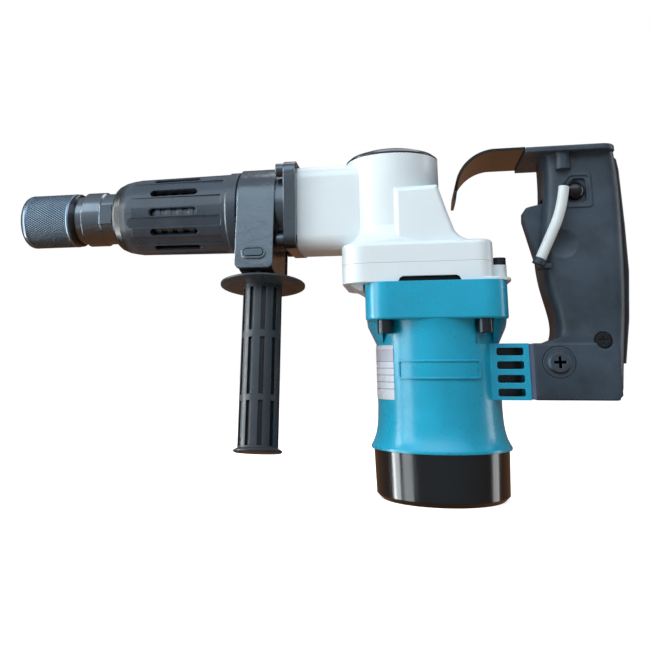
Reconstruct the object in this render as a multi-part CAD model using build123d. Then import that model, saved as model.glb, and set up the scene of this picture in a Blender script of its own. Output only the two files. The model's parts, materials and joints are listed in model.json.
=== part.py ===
from build123d import *
import math
import os

# Demolition hammer, millimetres. The motor stands on the origin with its axis on +Z, the tool points
# to -X, the rear handle is at +X and the near side is -Y. The flat bottom of the end cap is at Z = 0.

GAP = 0.3            # between bodies that move apart
FIT = 0.05           # radial clearance of a running fit
SEAT = 0.02          # clearance of a part that is seated in another

# motor
CAP_R = 42.5
CAP_FOOT_R = 41.5
CAP_TOP = 31.0
MOTOR_R = 39.3
MOTOR_BORE_R = 36.0
FLARE_R = 44.2
SHOULDER_Z = 97.0
BLOCK_Z = 111.5
BLOCK_TOP = 135.0
BLOCK_X = (-44.4, 43.4)
GEAR_RIM_REAR = 46.2
BLOCK_Y = 41.5
BLOCK_CORNER = 15.0
BOLTS = [(x, y) for x in (-32.0, 28.5) for y in (-33.0, 33.0)]
BOLT_HOLE_R = 3.1
CAP_SCREW = 24.0      # of the end cap, from the motor axis
VENT_X = (35.2, 51.2)
VENT_Z = 66.6
VENT_PITCH = 8.3
PLATE_Z = (75.0, 86.5)
ARM_R = 24.0         # armature core
STATOR_BORE_R = 24.6
SHAFT_R = 5.0

# gears: one reduction from the armature pinion to the crank gear
MODULE = 1.0
PINION_TEETH = 7
GEAR_TEETH = 44
GEAR_Z = (140.0, 150.0)

# crank
CRANK_X = -MODULE * (PINION_TEETH + GEAR_TEETH) / 2
CRANK_R = 31.0
CAVITY_R = 27.5
SPIGOT_R = 24.0       # of the crank cap
GEAR_WELL_R = 25.5
MAIN_BEARING_R = 14.0
CRANK_JOURNAL_R = 10.0
CRANK_TAIL_R = 4.0
CRANK_PIN_R = 5.5
WRIST_PIN_R = 4.0
CRANK_TOP = 220.6
THROW = 12.0
ROD_LENGTH = 55.0
ROD_T = 11.0
PARTING_Z = 147.0
CASE_FRONT = -59.0
CASE_REAR = 35.5
CASE_Y = 39.0
CASE_TOP = 160.6
CASE_BOLT_X = 39.6
CASE_BOLT_Y = 22.0
CASE_BOSS_TOP = 145.4

# barrel
BARREL_Z = 190.5
TUBE_Y = 22.6
TUBE_Z = (160.0, 217.8)
TUBE_CORNER = 9.0
TUBE_FRONT = -89.0
FLANGE_FRONT = -97.0
FLANGE_HALF = 30.0
FLANGE_BOLT = 24.0
NECK_R = 28.0
LINER_BORE_R = 16.0
LINER_R = 19.0
LINER_X = (-205.0, -66.0)
STRIKER_X = (-199.0, -153.0)
RING_GROOVE_R = 14.0
IMPACT_R = 9.0
IMPACT_X = (-243.0, -212.0)
COVER_R = 27.4
COVER_REAR = -130.5
COVER_FRONT = -222.0
COVER_ROWS = 12
RING_R = 19.8
GUIDE_R = 17.6
NOSE_R = 15.0
NOSE_FRONT = -286.5
RING_FRONT = -247.0
GUIDE_FRONT = -255.0
HEX_ACROSS = 17.2
HEX_REAR = -245.0

# collar
COLLAR_R = 19.8
COLLAR_FRONT = -295.0
COLLAR_REAR = -256.0
RIM_REAR = -252.5
LAND_REAR = -276.5
BALL_X = -282.5

# side handle
BAND_X = (-128.5, -103.2)
BAND_T = 2.2
BAND_DROP = 50.0
PIN_Z = 150.8
SWING = -10.0
GRIP_X = -115.0
GRIP_R = 13.2
GRIP_TOP = 135.0
GRIP_FOOT = 26.0
GRIP_GROOVES = 10
GROOVE_DEPTH = 1.7
GROOVE_WIDTH = 3.0
GRIP_ROWS = [(29.8, 57.7), (61.7, 98.7), (103.6, 133.0)]
GUARD_DISC_R = 29.0

# rear handle
HANDLE_Y = 20.0
BLOCK_HALF_Y = 24.0
WALL = 3.0
GUARD_Y = 27.0
HANDLE_TOP = 220.5
PIVOT = (71.7, 84.8)
SMALL_SCREW = (98.6, 98.0)
BUTTON = (88.6, 192.2)
BUTTON_R = 5.6
SCOOP_R = 26.0         # thumb scoop
TRIGGER_PIVOT = (75.0, 155.5)

# cord stub
CORD_R = 3.25
CORD_ROUTE = [(64.6, -24.6, 148.6), (67.9, -24.6, 155.5), (72.0, -24.6, 164.0),
              (76.6, -24.6, 174.0), (79.8, -24.6, 184.5), (81.4, -24.6, 194.0)]


def block(x, y, z):
    """A box between pairs of coordinates."""
    size = (x[1] - x[0], y[1] - y[0], z[1] - z[0])
    return Pos((x[0] + x[1]) / 2, (y[0] + y[1]) / 2, (z[0] + z[1]) / 2) * Box(*size)


def rounded(x, y, z, corner):
    """A box whose vertical edges are rounded."""
    return fillet(block(x, y, z).edges().filter_by(Axis.Z), corner)


def turned_z(profile, x=0.0):
    """Radius and height points turned about a vertical axis."""
    face = make_face(Plane.XZ * Polyline(*profile, close=True))
    return Pos(x, 0, 0) * revolve(face, Axis.Z)


def turned_x(profile):
    """Station and radius points turned about the barrel axis."""
    lifted = [(x, r + BARREL_Z) for x, r in profile]
    face = make_face(Plane.XZ * Polyline(*lifted, close=True))
    return revolve(face, Axis((0, 0, BARREL_Z), (1, 0, 0)))


def post(x, y, r, z):
    """A vertical cylinder between two heights."""
    return Pos(x, y, (z[0] + z[1]) / 2) * Cylinder(r, z[1] - z[0])


def rod_x(y, z, r, x):
    """A cylinder along X between two stations."""
    return Pos((x[0] + x[1]) / 2, y, z) * Rot(0, 90, 0) * Cylinder(r, x[1] - x[0])


def rod_y(x, z, r, y):
    """A cylinder along Y between two depths."""
    return Pos(x, (y[0] + y[1]) / 2, z) * Rot(90, 0, 0) * Cylinder(r, y[1] - y[0])


def tube_z(x, radii, z):
    """A vertical ring."""
    return post(x, 0, radii[1], z) - post(x, 0, radii[0], z)


def tube_x(radii, x):
    """A ring on the barrel axis."""
    return rod_x(0, BARREL_Z, radii[1], x) - rod_x(0, BARREL_Z, radii[0], x)


def slab(outline, y):
    """An outline in X and Z, extruded between two depths."""
    face = make_face(Plane.XZ.offset(-y[1]) * Polyline(*outline, close=True))
    return extrude(face, y[1] - y[0], dir=(0, -1, 0))


def bar_x(half_y, z, corner, x):
    """A bar along X with a rounded square section."""
    bar = block(x, (-half_y, half_y), z)
    return fillet(bar.edges().filter_by(Axis.X), corner)


def around_barrel(shape, angle):
    """The shape turned about the barrel axis."""
    return Pos(0, 0, BARREL_Z) * Rot(angle, 0, 0) * Pos(0, 0, -BARREL_Z) * shape


def corners(x, y):
    return [(sx * x, sy * y) for sx in (-1, 1) for sy in (-1, 1)]


def gear(teeth, z, tip, root, half_tooth):
    """A spur gear with tapered teeth; half_tooth is half the tooth's width at its middle."""
    step = 2 * math.pi / teeth
    taper = 0.25
    points = []
    for k in range(teeth):
        a = k * step
        for r, w in ((root, -half_tooth - taper), (tip, -half_tooth + taper),
                     (tip, half_tooth - taper), (root, half_tooth + taper)):
            b = a + w / r
            points.append((r * math.cos(b), r * math.sin(b)))
    face = make_face(Polyline(*points, close=True))
    return Pos(0, 0, z[0]) * extrude(face, z[1] - z[0])


# motor end

def end_cap():
    outer = turned_z([(0, 0), (CAP_FOOT_R - 3, 0), (CAP_FOOT_R, 3), (CAP_R, CAP_TOP), (0, CAP_TOP)])
    hollow = turned_z([(0, 3.5), (CAP_FOOT_R - 5, 3.5), (CAP_R - 3, CAP_TOP), (0, CAP_TOP)])
    cap = outer - hollow
    for x, y in corners(CAP_SCREW, CAP_SCREW):
        cap += post(x, y, 4.5, (3.0, CAP_TOP - 1))
        cap -= post(x, y, 2.3, (-1, CAP_TOP)) + post(x, y, 4.0, (-1, 2.2))
    for k in range(6):
        cap -= block((-19.5 + 7 * k, -15.5 + 7 * k), (-12, 12), (-1, 4))
    cap -= block((26, 34), (-45, -37), (-1, 2.5))
    return cap


def end_cap_screws():
    places = corners(CAP_SCREW, CAP_SCREW)
    return [post(x, y, 3.8, (0.3, 2.2)) + post(x, y, 2.2, (2.0, CAP_TOP - 1.2)) for x, y in places]


def vent_slots(y):
    cut = None
    for k in range(4):
        z = VENT_Z + VENT_PITCH * k
        bar = fillet(block(VENT_X, y, (z - 2.35, z + 2.35)).edges().filter_by(Axis.Y), 1.3)
        cut = bar if cut is None else cut + bar
    return cut


def barrel_of_motor():
    """The round body, which spreads in a curve to its foot and again under the square head."""
    foot = Spline((FLARE_R - 0.5, CAP_TOP + 2.4), (41.4, 38.5), (39.9, 46), (MOTOR_R, 57))
    neck = Spline((MOTOR_R, 103), (39.7, 107), (41.0, BLOCK_Z))
    sides = Line((MOTOR_R, 57), (MOTOR_R, 103))
    rest = Polyline((41.0, BLOCK_Z), (0, BLOCK_Z), (0, CAP_TOP), (FLARE_R, CAP_TOP),
                    (FLARE_R, CAP_TOP + 1.6), (FLARE_R - 0.5, CAP_TOP + 2.4))
    return revolve(make_face(Plane.XZ * (foot + sides + neck + rest)), Axis.Z)


def name_plate():
    """A blank raised panel with a border."""
    plate = fillet(block((-25, 25), (-45, 0), PLATE_Z).edges().filter_by(Axis.Y), 1.4)
    inner = block((-23.9, 23.9), (-45, 0), (PLATE_Z[0] + 1.1, PLATE_Z[1] - 1.1))
    inner = fillet(inner.edges().filter_by(Axis.Y), 0.8)
    return (plate & tube_z(0, (MOTOR_R - 1, MOTOR_R + 1.2), (70, 90))) - (
        inner & tube_z(0, (MOTOR_R + 0.6, MOTOR_R + 2), (70, 90)))


def motor_housing():
    plan = (BLOCK_X, (-BLOCK_Y, BLOCK_Y))
    head = rounded(*plan, (BLOCK_Z, BLOCK_TOP), BLOCK_CORNER)
    head = fillet(head.edges().group_by(Axis.Z)[0], 1.4)
    cone = turned_z([(0, SHOULDER_Z), (MOTOR_R, SHOULDER_Z), (46, BLOCK_Z), (46, BLOCK_Z + 2),
                     (0, BLOCK_Z + 2)])
    shoulder = rounded(*plan, (SHOULDER_Z, BLOCK_Z + 1.5), BLOCK_CORNER) & cone
    shoulder -= block((-34, 34), (-50, 50), (SHOULDER_Z - 1, BLOCK_Z + 3))
    body = barrel_of_motor() + head + shoulder
    for x, y in BOLTS:
        body -= post(x, y, 6.2, (SHOULDER_Z - 1, BLOCK_Z))
    body += block((30, 54.5), (-BLOCK_HALF_Y, BLOCK_HALF_Y), (62, 96.5))
    body -= post(0, 0, MOTOR_BORE_R, (CAP_TOP - 1, 108))
    body -= rounded((-38, 38), (-34, 34), (116, BLOCK_TOP + 1), 12)
    body -= post(0, 0, 22, (107, 117))
    for x, y in BOLTS:
        body += post(x, y, 6.5, (115, BLOCK_TOP))
        body -= post(x, y, BOLT_HOLE_R, (BLOCK_Z - 1, BLOCK_TOP + 1))
    body -= block((33, 52), (-21, 21), (64, 94.4))
    body += block((36.3, 53), (-1.5, 1.5), (63, 95))
    body -= vent_slots((-26, -20)) + vent_slots((20, 26))
    return body + name_plate()


def name_label():
    ring = tube_z(0, (MOTOR_R + 0.05, MOTOR_R + 0.35), (62, 96))
    return Rot(0, 0, -75) * (ring & block((-20, 20), (-45, 0), (60, 97)))


def housing_bolts():
    bolts = []
    for x, y in BOLTS:
        bolt = post(x, y, 4.8, (102.9, BLOCK_Z)) - post(x, y, 2.3, (102, 107))
        bolts.append(bolt + post(x, y, 3.0, (BLOCK_Z - 0.5, 144.0)))
    return bolts


def stator():
    core = tube_z(0, (STATOR_BORE_R, MOTOR_BORE_R - SEAT), (48, 88))
    slots = block((-31, 31), (-7, 7), (40, 95)) + block((-7, 7), (-31, 31), (40, 95))
    return core - slots


def field_coils():
    coils = []
    for k in range(4):
        coil = block((26, 30.6), (-6.6, 6.6), (45.5, 93))
        coils.append(Rot(0, 0, 90 * k) * coil)
    return coils


def ring_bearing(x, bore, outer, z):
    return tube_z(x, (bore + SEAT, outer), z)


def bearing_bridge():
    """The spider below the stator that carries the lower bearing and the brush boxes."""
    disc = tube_z(0, (9.6, MOTOR_BORE_R - SEAT), (33, 37))
    hub = tube_z(0, (8.02, 12), (26, 37))
    windows = None
    for k in range(4):
        window = Rot(0, 0, 45 + 90 * k) * block((16, 31), (-7, 7), (30, 40))
        windows = window if windows is None else windows + window
    return disc + hub - windows


def brush_boxes():
    box = block((14.5, 30), (-4.5, 4.5), (37.02, 45)) - block((14, 31), (-2.6, 2.6), (38.2, 43.8))
    return [box, Rot(0, 0, 180) * box]


def carbon_brushes():
    brush = block((12.3, 24), (-2.5, 2.5), (38.3, 43.7))
    return [brush, Rot(0, 0, 180) * brush]


def armature_shaft():
    shaft = post(0, 0, 4.0, (27, 34)) + post(0, 0, SHAFT_R, (34, 124)) + post(0, 0, 3.2, (124, 139.5))
    pinion = gear(PINION_TEETH, GEAR_Z, 4.4, 2.6, 0.4)
    return shaft + pinion + post(0, 0, 2.6, (139, 156.5))


def armature_core():
    core = tube_z(0, (SHAFT_R + SEAT, ARM_R), (50, 86))
    for k in range(12):
        core -= Rot(0, 0, 30 * k) * block((ARM_R - 5, ARM_R + 1), (-0.9, 0.9), (49, 87))
    return core


def armature_windings():
    ends = [tube_z(0, (SHAFT_R + SEAT, 20.5), (86.02, 94)), tube_z(0, (SHAFT_R + SEAT, 20.5), (47, 49.98))]
    return ends


def commutator():
    body = tube_z(0, (SHAFT_R + SEAT, 12.0), (37.5, 46.5))
    for k in range(24):
        body -= Rot(0, 0, 15 * k) * block((10.8, 13), (-0.3, 0.3), (37, 47))
    return body


def cooling_fan():
    fan = tube_z(0, (SHAFT_R + SEAT, 30), (96, 98)) + tube_z(0, (SHAFT_R + SEAT, 9), (96, 104))
    for k in range(16):
        fan += Rot(0, 0, 22.5 * k) * Pos(20, 0, 100.4) * Rot(0, 0, 20) * Box(20, 1.4, 5)
    return fan


# gear case and crank case

def case_outline(z):
    """The plan of the gear case, rounder at the tool end."""
    plan = block((CASE_FRONT, CASE_REAR), (-CASE_Y, CASE_Y), z)
    plan = fillet(plan.edges().filter_by(Axis.Z).group_by(Axis.X)[0], 15)
    return fillet(plan.edges().filter_by(Axis.Z).group_by(Axis.X)[-1], 9)


def case_bolt_places():
    return [(CASE_BOLT_X, y) for y in (-CASE_BOLT_Y, CASE_BOLT_Y)]


def gear_case():
    body = case_outline((BLOCK_TOP + SEAT, PARTING_Z))
    body += slab([(CASE_FRONT, 138), (-47.4, 131), (-45.5, 131), (-45.5, 138)], (-26, 26))
    rim = rounded((CASE_REAR - 20, GEAR_RIM_REAR), (-CASE_Y, CASE_Y), (BLOCK_TOP + SEAT, 137), 14)
    body += fillet(rim.edges().group_by(Axis.Z)[-1], 0.8)
    body -= post(CRANK_X, 0, GEAR_WELL_R, (139, PARTING_Z + 1))
    body -= post(0, 0, 9, (133, PARTING_Z + 1))
    body -= post(CRANK_X, 0, 6.02, (136.5, 140))
    exhaust = [(-23.4, 134), (-21.8, 137.3), (-20, 138.3), (12.6, 138.3), (14.4, 137.3), (16, 134)]
    body -= slab(exhaust, (-45, -32.5))
    for x, y in BOLTS:
        body -= post(x, y, BOLT_HOLE_R, (134, 144.5))
    for x, y in case_bolt_places():
        body += post(x, y, 4.6, (BLOCK_TOP + SEAT, CASE_BOSS_TOP))
        body += block((30, x), (y - 4.6, y + 4.6), (BLOCK_TOP + 1, CASE_BOSS_TOP))
        body -= post(x, y, 2.6, (137, 150)) + post(x, y, 5.2, (CASE_BOSS_TOP, PARTING_Z + 1))
    return body


def lobe():
    """The cast swelling behind the crank drum, which slopes down to the rear."""
    outline = [(-24, 150), (-24, 197), (3.4, 197.8), (8.8, 180), (13, 167.6), (16, 164), (20, 161.8),
               (30, 160.4), (30, 150)]
    shape = slab(outline, (-33.5, 33.5))
    return fillet(shape.edges().filter_by(lambda e: abs(e.center().Y) > 33 and e.center().Z > 161), 3.2)


def drum_skirt():
    """The cast fillet that runs from the crank drum down onto the gear case."""
    flare = [(9, -3), (9, -0.3), (5.5, 1.0), (2.6, 3.6), (0.9, 7.2), (0, 12)]
    profile = [(CRANK_R + r, CASE_TOP + z) for r, z in flare]
    skirt = turned_z([(0, CASE_TOP - 3)] + profile + [(0, CASE_TOP + 12)], CRANK_X)
    bounds = block((CASE_FRONT + 3, CASE_REAR - 3), (3 - CASE_Y, CASE_Y - 3), (CASE_TOP - 3, CASE_TOP + 12))
    return skirt & bounds


def crank_case():
    base = case_outline((PARTING_Z + SEAT, CASE_TOP))
    base = fillet(base.edges().group_by(Axis.Z)[-1], 2.5)
    drum = post(CRANK_X, 0, CRANK_R, (PARTING_Z + SEAT, CRANK_TOP))
    tube = bar_x(TUBE_Y, TUBE_Z, TUBE_CORNER, (TUBE_FRONT, CRANK_X))
    body = base + lobe() + tube + drum + drum_skirt()
    body -= post(CRANK_X, 0, CAVITY_R, (169.0, 213))
    body -= post(CRANK_X, 0, MAIN_BEARING_R, (150, 170)) + post(CRANK_X, 0, GEAR_WELL_R, (PARTING_Z, 153))
    body -= post(CRANK_X, 0, SPIGOT_R, (212, CRANK_TOP + 1))
    body -= post(0, 0, 9, (PARTING_Z, 153)) + post(0, 0, 6.05, (152, 158))
    body -= rod_x(0, BARREL_Z, LINER_R + SEAT, (TUBE_FRONT - 1, CRANK_X))
    for x, y in case_bolt_places():
        body -= post(x, y, 5.2, (PARTING_Z, 165))
    return body


def crank_cap():
    top = CRANK_TOP + SEAT
    dome = turned_z([(0, top), (CRANK_R, top), (CRANK_R, top + 1.1), (CRANK_R - 2.5, top + 3.2),
                     (CRANK_R - 9, top + 5.6), (CRANK_R - 18, top + 7.2), (0, top + 8)], CRANK_X)
    return dome + post(CRANK_X, 0, SPIGOT_R - FIT, (213.5, CRANK_TOP + 1))


def crank_cap_ring():
    """Rubber ring in the spigot's corner."""
    return tube_z(CRANK_X, (22.0, 23.9), (212.1, 213.4))


def case_bolts():
    low, top = CASE_BOSS_TOP + SEAT, CASE_BOSS_TOP + 4.6
    return [post(x, y, 2.5, (138, low + 0.5)) + post(x, y, 4.4, (low, top)) for x, y in case_bolt_places()]


def crank_shaft():
    shaft = post(CRANK_X, 0, CRANK_JOURNAL_R, (150.4, 172)) + post(CRANK_X, 0, CRANK_TAIL_R, (137, 150.4))
    disc = post(CRANK_X, 0, 22, (171, 178))
    disc -= block((CRANK_X + 8, CRANK_X + 30), (8, 30), (170, 180))
    disc -= block((CRANK_X + 8, CRANK_X + 30), (-30, -8), (170, 180))
    pin = post(CRANK_X - THROW, 0, CRANK_PIN_R, (177, BARREL_Z - ROD_T / 2 - GAP))
    return shaft + disc + pin


def crank_gear():
    wheel = Pos(CRANK_X, 0, 0) * gear(GEAR_TEETH, GEAR_Z, 22.6, 20.6, 0.45)
    wheel -= post(CRANK_X, 0, CRANK_TAIL_R + SEAT, (139, 151))
    for k in range(6):
        wheel -= Pos(CRANK_X, 0, 145) * Rot(0, 0, 60 * k) * Pos(13, 0, 0) * Cylinder(3.2, 12)
    return wheel


# hammer mechanism

def connecting_rod():
    big, small = CRANK_X - THROW, CRANK_X - THROW - ROD_LENGTH
    z = (BARREL_Z - ROD_T / 2, BARREL_Z + ROD_T / 2)
    rod = post(big, 0, 10, z) + post(small, 0, 8, (BARREL_Z - 5, BARREL_Z + 5))
    rod += block((small, big), (-4, 4), (BARREL_Z - 4, BARREL_Z + 4))
    return rod - post(big, 0, CRANK_PIN_R + FIT, (180, 200)) - post(small, 0, WRIST_PIN_R + FIT, (180, 200))


def wrist_x():
    return CRANK_X - THROW - ROD_LENGTH


def piston():
    x = wrist_x()
    body = rod_x(0, BARREL_Z, LINER_BORE_R - FIT, (x - 20, x + 13))
    body -= block((x - 9, x + 14), (-9.5, 9.5), (BARREL_Z - 5.8, BARREL_Z + 5.8))
    body -= post(x, 0, WRIST_PIN_R + SEAT, (170, 210))
    return body - tube_x((RING_GROOVE_R, 17.0), (x - 16, x - 13))


def piston_ring():
    x = wrist_x()
    return tube_x((RING_GROOVE_R + FIT, LINER_BORE_R - FIT), (x - 15.9, x - 13.1))


def wrist_pin():
    return post(wrist_x(), 0, WRIST_PIN_R, (BARREL_Z - 13, BARREL_Z + 13))


def liner():
    return tube_x((LINER_BORE_R, LINER_R), LINER_X)


def striker():
    front, rear = STRIKER_X
    slide_r = LINER_BORE_R - FIT
    return turned_x([(front, 0), (front, 8), (-187, 8.5), (-185, slide_r), (-172, slide_r),
                     (-172, RING_GROOVE_R), (-169, RING_GROOVE_R), (-169, slide_r),
                     (rear, slide_r), (rear, 0)])


def striker_ring():
    return tube_x((RING_GROOVE_R + FIT, LINER_BORE_R - FIT), (-171.9, -169.1))


def impact_bolt():
    front, rear = IMPACT_X
    return turned_x([(front, 0), (front, IMPACT_R - 1), (front + 1.5, IMPACT_R), (-228.5, IMPACT_R),
                     (-226, 12.9), (-219, 12.9), (-217, 8.5), (rear, 8.5), (rear, 0)])


# barrel

def barrel():
    outer = turned_x([(NOSE_FRONT, 0), (NOSE_FRONT, NOSE_R - 1), (NOSE_FRONT + 1, NOSE_R),
                      (GUIDE_FRONT, NOSE_R), (GUIDE_FRONT, GUIDE_R), (RING_FRONT, GUIDE_R),
                      (RING_FRONT, RING_R - 0.8),
                      (RING_FRONT + 0.8, RING_R), (-233, RING_R), (-232, RING_R - 1.2), (-221, RING_R - 1.2),
                      (-221, 22), (-131.5, 22), (-131.5, 0)])
    bore = turned_x([(-250, 0), (-250, IMPACT_R), (-229.5, IMPACT_R + FIT), (-227, 13), (-208, 13),
                     (LINER_X[0], LINER_R + SEAT), (-130, LINER_R + SEAT), (-130, 0)])
    body = outer - bore
    for k in range(8):
        body += tube_x((21, 23.3), (-197 + 8 * k, -193.5 + 8 * k))
    hexagon = extrude(RegularPolygon(HEX_ACROSS / 2, 6, major_radius=False), HEX_REAR - NOSE_FRONT + 1)
    body -= Pos(NOSE_FRONT - 1, 0, BARREL_Z) * Rot(0, 90, 0) * hexagon
    lug = block((-232, -223), (-RING_R - 0.4, -16), (BARREL_Z - 7, BARREL_Z + 7))
    body += lug
    for angle in (0, 180):
        body -= around_barrel(post(BALL_X, 0, 3.3, (BARREL_Z + 7, BARREL_Z + 17)), angle)
    return body


def lock_balls():
    ball = Pos(BALL_X, 0, BARREL_Z + 11.6) * Sphere(3.2)
    return [ball, around_barrel(ball, 180)]


def barrel_cover():
    outer = turned_x([(COVER_FRONT, 20.5), (COVER_FRONT, 21.6), (-219.5, 23.7), (-215, 25.6),
                      (-210.5, COVER_R - 0.8), (-205, COVER_R), (-138, COVER_R + 0.8),
                      (-137, COVER_R + 1.6), (COVER_REAR, COVER_R + 1.6),
                      (COVER_REAR, 23.6), (-200, 23.6), (-216, 22.02), (COVER_FRONT, 22.02 - 1.5)])
    outer -= tube_x((20, 22.02), (COVER_FRONT - 1, -215.9))
    half = 2.7
    for k in range(COVER_ROWS):
        slot = block((-189.5, -160.5), (-35, -20), (BARREL_Z - half, BARREL_Z + half))
        slot += rod_y(-189.5, BARREL_Z, half, (-35, -20)) + rod_y(-160.5, BARREL_Z, half, (-35, -20))
        outer -= around_barrel(slot, 4 + 30 * k)
    for k in range(COVER_ROWS):
        panel = block((-212, -141), (-35, -COVER_R + 0.55), (BARREL_Z - 3.6, BARREL_Z + 3.6))
        outer -= around_barrel(panel, 19 + 30 * k)
    return outer


def front_flange():
    height = (BARREL_Z - FLANGE_HALF, BARREL_Z + FLANGE_HALF)
    plate = bar_x(FLANGE_HALF, height, 8, (FLANGE_FRONT, TUBE_FRONT - SEAT))
    neck = rod_x(0, BARREL_Z, NECK_R, (-130, FLANGE_FRONT + 1))
    body = plate + neck - rod_x(0, BARREL_Z, LINER_R + SEAT, (-131, -80))
    for y, z in corners(FLANGE_BOLT, FLANGE_BOLT):
        body -= rod_x(y, BARREL_Z + z, BOLT_HOLE_R, (-98, -88))
    return body


def flange_bolts():
    bolts = []
    for y, z in corners(FLANGE_BOLT, FLANGE_BOLT):
        bolt = rod_x(y, BARREL_Z + z, 4.6, (FLANGE_FRONT - 5.5, FLANGE_FRONT))
        bolt -= rod_x(y, BARREL_Z + z, 2.4, (FLANGE_FRONT - 6, FLANGE_FRONT - 2.5))
        bolts.append(bolt + rod_x(y, BARREL_Z + z, 3.0, (FLANGE_FRONT - 1, TUBE_FRONT - 0.5)))
    return bolts


# tool retainer

def tool_collar():
    profile = [(COLLAR_FRONT, 11), (COLLAR_FRONT, 16.2), (-294.4, 17.8), (-293.0, 19.0), (-291.0, COLLAR_R),
               (COLLAR_REAR, COLLAR_R), (COLLAR_REAR, GUIDE_R + FIT), (LAND_REAR, GUIDE_R + FIT),
               (LAND_REAR, NOSE_R + FIT), (-292.0, NOSE_R + FIT), (-293.0, 11)]
    return turned_x(profile)


def collar_rim():
    front = COLLAR_REAR + SEAT
    return turned_x([(front, GUIDE_R + FIT), (front, COLLAR_R - 0.3), (-253.6, COLLAR_R - 0.3),
                     (RIM_REAR, 18.8), (RIM_REAR, GUIDE_R + FIT)])


def retainer_spring():
    coil = Helix(pitch=4.0, height=19.6, radius=16.3)
    wire = Plane(coil @ 0, z_dir=coil % 0) * Circle(0.75)
    spring = sweep(wire, path=coil, is_frenet=True)
    return Pos(LAND_REAR + 0.9, 0, BARREL_Z) * Rot(0, 90, 0) * spring


# side handle, modelled hanging straight down and then swung

def swung(shape):
    return around_barrel(shape, SWING)


def stadium(length, height, y):
    bar = block((GRIP_X - 0.8 - length / 2 + height / 2, GRIP_X - 0.8 + length / 2 - height / 2), y,
                (PIN_Z - height / 2, PIN_Z + height / 2))
    for side in (-1, 1):
        bar += rod_y(GRIP_X - 0.8 + side * (length - height) / 2, PIN_Z, height / 2, y)
    return bar


def handle_band():
    inner, outer = NECK_R + 0.1, NECK_R + 0.1 + BAND_T
    foot = BARREL_Z - BAND_DROP
    loop = tube_x((inner, outer), BAND_X)
    loop -= block((-140, -90), (-40, 40), (BARREL_Z - 40, BARREL_Z))
    for side in (-1, 1):
        y = sorted((side * inner, side * outer))
        leg = block(BAND_X, y, (foot, BARREL_Z))
        leg = fillet(leg.edges().filter_by(Axis.Y).group_by(Axis.Z)[0], 3.5)
        rim = sorted((side * outer, side * (outer + 0.9)))
        leg += stadium(16.5, 8.6, rim)
        leg -= stadium(13.5, 5.6, (-40, 40))
        loop += leg
    return swung(loop)


def clamp_block():
    body = block((-126.5, -104), (-27.9, 27.9), (141, 172))
    body -= rod_x(0, BARREL_Z, NECK_R + 0.1, (-130, -100))
    body = fillet(body.edges().filter_by(Axis.X).group_by(Axis.Z)[0], 6)
    body -= stadium(13.5, 5.6, (-40, 40))
    body -= post(GRIP_X, 0, 5 + SEAT, (140, 147.4))
    return swung(body)


def clamp_pin():
    return swung(stadium(12.6, 4.6, (-31.6, 31.6)))


def handle_stud():
    return swung(post(GRIP_X, 0, 5, (98, 147.2)))


def side_grip():
    disc = turned_z([(0, GRIP_TOP), (24, GRIP_TOP), (GUARD_DISC_R, 136.2), (GUARD_DISC_R, 137.4),
                     (24, 138.6), (0, 139.4)], GRIP_X)
    grip = post(GRIP_X, 0, GRIP_R, (GRIP_FOOT + 2.6, GRIP_TOP + 1))
    foot = turned_z([(0, GRIP_FOOT), (15.0, GRIP_FOOT), (15.8, GRIP_FOOT + 0.7), (15.8, GRIP_FOOT + 1.5),
                     (GRIP_R, GRIP_FOOT + 2.9), (0, GRIP_FOOT + 2.9)], GRIP_X)
    ribs = None
    for low, high in GRIP_ROWS:
        for k in range(GRIP_GROOVES):
            turn = 360 / GRIP_GROOVES * k - 75
            place = Pos(GRIP_X, 0, (low + high) / 2) * Rot(0, 0, turn) * Pos(GRIP_R, 0, 0)
            groove = place * Box(2 * GROOVE_DEPTH, GROOVE_WIDTH, high - low)
            ribs = groove if ribs is None else ribs + groove
    body = disc + grip + foot - ribs
    return swung(body - post(GRIP_X, 0, 5 + FIT, (97, 141)))


# rear handle

def handle_profile(inset):
    """The grip's side view: a curved front, a straight back and the arm to the motor at its foot."""
    front = [(71.4, 218), (71.6, 204), (70.6, 186), (66.6, 153), (67.2, 142), (69.2, 130), (72.2, 117),
             (73.4, 106), (72.0, 99)]
    back = [(114.6, 218), (115.6, 206), (115.9, 160), (114.4, 122), (111.2, 88), (109.6, 70),
            (106, 62 + inset)]
    i = inset
    front = [(x + i, z) for x, z in front]
    back = [(x - i, z) for x, z in back]
    arm = [back[-1], (57.6 + i, 62 + i), (57.6 + i, 96.5 - i), (66, 96.5 - i), front[-1]]
    edge = Spline(*front) + Line(front[0], back[0]) + Spline(*back[:-1]) + Line(back[-2], back[-1])
    return make_face(Plane.XZ * (edge + Polyline(*arm)))


def handle_prism(inset, corner):
    """The grip's profile given width, with its long edges rounded."""
    half = HANDLE_Y - inset
    shape = extrude(handle_profile(inset), half, dir=(0, -1, 0), both=True)
    long_edges = shape.edges().filter_by(lambda e: abs(e.center().Y) > half - 0.5 and e.length > 60)
    return fillet(long_edges, corner)


def lock_recess():
    """The D-shaped dish round the lock button, cut from a raised rim."""
    def outline(g, y):
        left, right, low, high = 78.6 - g, 98.6 + g, 181.2 - g, 203.2 + g
        face = make_face(Plane.XZ * Polyline((left, low), (right, low), (right, high), (left + 6, high),
                                             (left, high - 8), close=True))
        shape = Pos(0, y[0], 0) * extrude(face, y[1] - y[0], dir=(0, 1, 0))
        return fillet(shape.edges().filter_by(Axis.Y), 2.2)
    rim = outline(0, (-HANDLE_Y - 0.6, -HANDLE_Y + 1)) - outline(-1.6, (-HANDLE_Y - 1, -HANDLE_Y + 2))
    dish = outline(-3.4, (-HANDLE_Y - 1, -HANDLE_Y + 1.9))
    return rim, dish


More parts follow.
